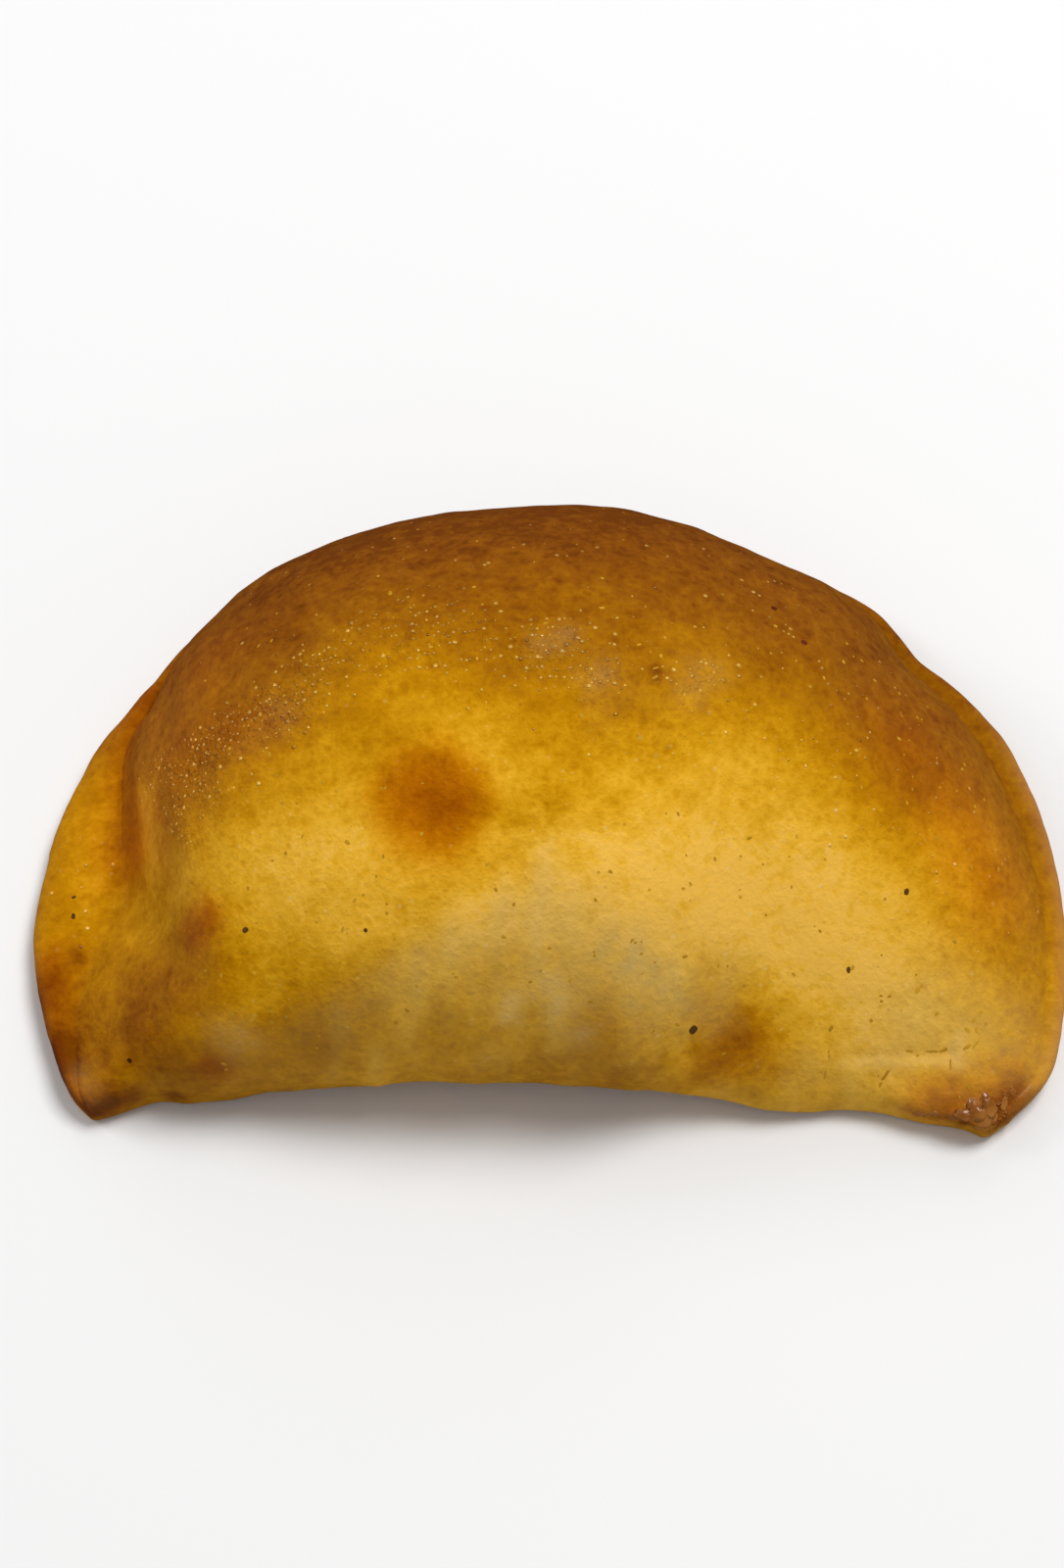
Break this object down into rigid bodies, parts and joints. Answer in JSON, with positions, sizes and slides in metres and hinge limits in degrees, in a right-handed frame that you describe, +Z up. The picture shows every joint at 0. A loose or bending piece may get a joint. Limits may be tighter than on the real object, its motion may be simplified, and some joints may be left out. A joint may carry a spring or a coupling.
{
  "type": "empanada",
  "caption": "Baked half-moon turnover with a plump folded front, a pressed rim, a wide flap to the left and a thin wing to the right.",
  "frame": {"origin": "centre of the footprint's bounding rectangle, on the surface that the empanada rests on", "axes": "+X along the length towards the thin wing, +Y from the fold towards the curved rim, +Z up"},
  "size_m": [0.1306, 0.0862, 0.0381],
  "materials": {
    "baked_crust": "baked wheat dough, golden to pale yellow with browned top and rim, thin satin egg glaze"
  },
  "bodies": {
    "root": {"empanada": "baked_crust"}
  },
  "joints": []
}
